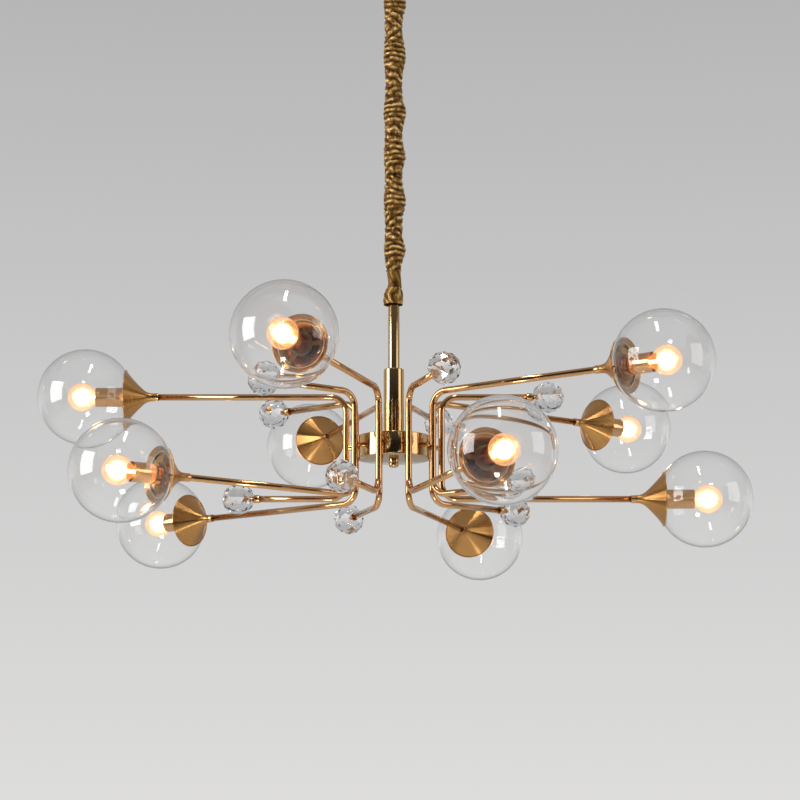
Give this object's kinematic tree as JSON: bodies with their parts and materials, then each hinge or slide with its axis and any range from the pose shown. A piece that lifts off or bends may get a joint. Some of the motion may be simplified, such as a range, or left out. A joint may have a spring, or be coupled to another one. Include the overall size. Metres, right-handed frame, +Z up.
{
  "type": "bubble chandelier",
  "caption": "Chain-hung chandelier: bent brass tubes round a drum hub, each with a clear glass globe on a trumpet cup at one end and a cut crystal ball at the other.",
  "frame": {"origin": "centre of the canopy's rim, on the ceiling", "axes": "+Z up into the ceiling, +X along the arms with the first and the sixth globe, which is the widest way across"},
  "size_m": [1.11, 1.063, 1.045],
  "materials": {
    "polished_gold": "polished",
    "bracket_steel": "zinc plated",
    "terminal_plastic": "matte",
    "sleeve_fabric": "satin",
    "cable_plastic": "smooth",
    "globe_glass": "clear",
    "lamp_glass": "clear amber, lit",
    "crystal_glass": "cut and polished",
    "socket_plastic": "matte",
    "clip_steel": "spring steel"
  },
  "bodies": {
    "ceiling": {"ceiling_canopy": "polished_gold", "ceiling_bracket": "bracket_steel", "canopy_studs": "bracket_steel", "canopy_nuts": "polished_gold", "canopy_loop": "polished_gold", "canopy_loop_nut": "bracket_steel", "terminal_block": "terminal_plastic"},
    "top_link": {"top_link": "polished_gold"},
    "chain": {"chain_links": "polished_gold", "chain_sleeve": "sleeve_fabric", "supply_cable": "cable_plastic"},
    "bottom_link": {"bottom_link": "polished_gold"},
    "stem_loop": {"stem_loop": "polished_gold"},
    "fixture": {"stem_tube": "polished_gold", "stem_collar": "polished_gold", "tie_rod": "bracket_steel", "hub_drum": "polished_gold", "hub_base": "polished_gold", "hub_finial": "polished_gold", "arm_studs": "polished_gold", "stud_nuts": "bracket_steel", "wire_connector": "terminal_plastic", "arm_leads": "cable_plastic", "head_collars": "polished_gold", "cups": "polished_gold", "globe_clips": "clip_steel", "holder_sleeves": "polished_gold", "lamp_sockets": "socket_plastic", "crystal_collars": "polished_gold", "crystals": "crystal_glass", "arm_01": "polished_gold", "arm_02": "polished_gold", "arm_03": "polished_gold", "arm_04": "polished_gold", "arm_05": "polished_gold", "arm_06": "polished_gold", "arm_07": "polished_gold", "arm_08": "polished_gold", "arm_09": "polished_gold", "arm_10": "polished_gold", "globe_01": "globe_glass", "globe_02": "globe_glass", "globe_03": "globe_glass", "globe_04": "globe_glass", "globe_05": "globe_glass", "globe_06": "globe_glass", "globe_07": "globe_glass", "globe_08": "globe_glass", "globe_09": "globe_glass", "globe_10": "globe_glass"},
    "lamp_01": {"lamp_01": "lamp_glass"},
    "lamp_02": {"lamp_02": "lamp_glass"},
    "lamp_03": {"lamp_03": "lamp_glass"},
    "lamp_04": {"lamp_04": "lamp_glass"},
    "lamp_05": {"lamp_05": "lamp_glass"},
    "lamp_06": {"lamp_06": "lamp_glass"},
    "lamp_07": {"lamp_07": "lamp_glass"},
    "lamp_08": {"lamp_08": "lamp_glass"},
    "lamp_09": {"lamp_09": "lamp_glass"},
    "lamp_10": {"lamp_10": "lamp_glass"}
  },
  "joints": [
    {"name": "swing_front_back", "type": "hinge", "parent": "ceiling", "child": "top_link", "pos_m": [0, 0, -0.05], "axis": [1, 0, 0], "range_deg": [-12, 12]},
    {"name": "swing_left_right", "type": "hinge", "parent": "top_link", "child": "chain", "pos_m": [0, 0, -0.0732], "axis": [0, 1, 0], "range_deg": [-12, 12]},
    {"name": "stem_front_back", "type": "hinge", "parent": "chain", "child": "bottom_link", "pos_m": [0, 0, -0.6183], "axis": [1, 0, 0], "range_deg": [-5, 5]},
    {"name": "stem_left_right", "type": "hinge", "parent": "bottom_link", "child": "stem_loop", "pos_m": [0, 0, -0.642], "axis": [0, 1, 0], "range_deg": [-5, 5]},
    {"name": "fixture_turn", "type": "hinge", "parent": "stem_loop", "child": "fixture", "pos_m": [0, 0, -0.6605], "axis": [0, 0, 1], "range_deg": [-90, 90]},
    {"name": "lamp_01_unscrew", "type": "hinge", "parent": "fixture", "child": "lamp_01", "pos_m": [0.48, 0, -0.97], "axis": [1, 0, 0], "range_deg": [0, 1080]},
    {"name": "lamp_02_unscrew", "type": "hinge", "parent": "fixture", "child": "lamp_02", "pos_m": [0.38833, 0.28214, -0.81], "axis": [0.809, 0.5878, 0], "range_deg": [0, 1080]},
    {"name": "lamp_03_unscrew", "type": "hinge", "parent": "fixture", "child": "lamp_03", "pos_m": [0.14833, 0.45651, -0.97], "axis": [0.309, 0.9511, 0], "range_deg": [0, 1080]},
    {"name": "lamp_04_unscrew", "type": "hinge", "parent": "fixture", "child": "lamp_04", "pos_m": [-0.14833, 0.45651, -0.81], "axis": [-0.309, 0.9511, 0], "range_deg": [0, 1080]},
    {"name": "lamp_05_unscrew", "type": "hinge", "parent": "fixture", "child": "lamp_05", "pos_m": [-0.38833, 0.28214, -0.97], "axis": [-0.809, 0.5878, 0], "range_deg": [0, 1080]},
    {"name": "lamp_06_unscrew", "type": "hinge", "parent": "fixture", "child": "lamp_06", "pos_m": [-0.48, 0, -0.81], "axis": [-1, 0, 0], "range_deg": [0, 1080]},
    {"name": "lamp_07_unscrew", "type": "hinge", "parent": "fixture", "child": "lamp_07", "pos_m": [-0.38833, -0.28214, -0.97], "axis": [-0.809, -0.5878, 0], "range_deg": [0, 1080]},
    {"name": "lamp_08_unscrew", "type": "hinge", "parent": "fixture", "child": "lamp_08", "pos_m": [-0.14833, -0.45651, -0.81], "axis": [-0.309, -0.9511, 0], "range_deg": [0, 1080]},
    {"name": "lamp_09_unscrew", "type": "hinge", "parent": "fixture", "child": "lamp_09", "pos_m": [0.14833, -0.45651, -0.97], "axis": [0.309, -0.9511, 0], "range_deg": [0, 1080]},
    {"name": "lamp_10_unscrew", "type": "hinge", "parent": "fixture", "child": "lamp_10", "pos_m": [0.38833, -0.28214, -0.81], "axis": [0.809, -0.5878, 0], "range_deg": [0, 1080]}
  ]
}
